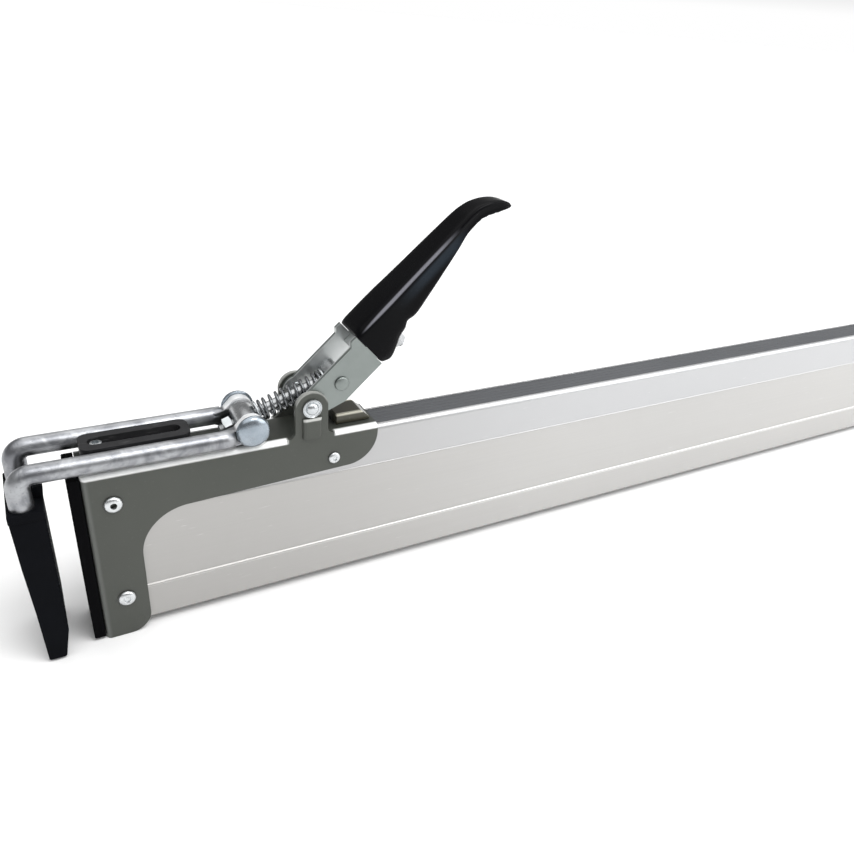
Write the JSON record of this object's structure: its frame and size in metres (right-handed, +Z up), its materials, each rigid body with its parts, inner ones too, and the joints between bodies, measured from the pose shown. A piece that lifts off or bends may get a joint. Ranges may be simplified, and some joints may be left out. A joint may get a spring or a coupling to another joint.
{
  "type": "clamp-on guide rail",
  "caption": "Long hollow aluminium guide rail with a lever-operated toggle clamp at one end: a hooked pair of bars pulls a rubber-faced jaw towards the rail's padded end.",
  "frame": {"origin": "middle of the end pad's clamping face, at half the rail's height and width", "axes": "+X along the rail away from the clamp, +Y from the front face to the back, +Z up, towards the lever"},
  "size_m": [1.2366, 0.043, 0.2305],
  "materials": {
    "beam": "mill, lightly brushed along the length",
    "strip": "dark grey insert",
    "bracket": "dark olive-grey satin coating",
    "zinc": "zinc plated",
    "galvanised": "galvanised",
    "black_steel": "black coated",
    "rubber": "matte",
    "grip": "glossy black"
  },
  "bodies": {
    "rail": {"beam": "beam", "top_strip": "strip", "end_bracket": "bracket", "end_pad": "rubber", "rivet_front_upper": "zinc", "rivet_front_lower": "zinc", "rivet_front_tail": "zinc", "rivet_back_upper": "zinc", "rivet_back_lower": "zinc", "rivet_back_tail": "zinc", "stop_block": "bracket", "guide_screw": "zinc"},
    "jaw": {"hook_bar_front": "galvanised", "hook_bar_back": "galvanised", "jaw_shoe": "rubber", "guide_plate": "black_steel"},
    "draw_link": {"trunnion": "zinc", "trunnion_cap_front": "zinc", "trunnion_cap_back": "zinc", "draw_rod": "zinc", "spring_washer_near": "zinc", "spring_washer_far": "zinc", "clamp_spring": "zinc"},
    "nut": {"adjusting_nut": "zinc"},
    "pivots": {"pivot_rivet_front": "zinc", "pivot_rivet_back": "zinc"},
    "lever": {"lever_cheek_front": "zinc", "lever_cheek_back": "zinc", "link_rivet_front": "zinc", "link_rivet_back": "zinc", "lever_bridge": "zinc", "grip": "grip", "grip_screw": "zinc"}
  },
  "joints": [
    {"name": "lever_opening", "type": "hinge", "parent": "rail", "child": "pivots", "pos_m": [0.127, 0, 0.0706], "axis": [0, -1, 0], "range_deg": [0, 110]},
    {"name": "lever_closing", "type": "hinge", "parent": "pivots", "child": "lever", "pos_m": [0.127, 0, 0.0706], "axis": [0, -1, 0], "range_deg": [-38, 0]},
    {"name": "jaw_slide", "type": "slide", "parent": "rail", "child": "jaw", "axis": [1, 0, 0], "range_m": [-0.0342, 0]},
    {"name": "rod_swing", "type": "hinge", "parent": "jaw", "child": "draw_link", "pos_m": [0.0935, 0, 0.063], "axis": [0, -1, 0], "range_deg": [-14.7, 0]},
    {"name": "nut_turn", "type": "hinge", "parent": "draw_link", "child": "nut", "pos_m": [0.0935, 0, 0.063], "axis": [0.9419, 0, 0.3358], "continuous": true}
  ],
  "couplings": [
    {"joint": "lever_opening", "follows": "jaw_slide", "rad_per_m": -56.13},
    {"joint": "rod_swing", "follows": "lever_closing", "ratio": 0.3852}
  ]
}
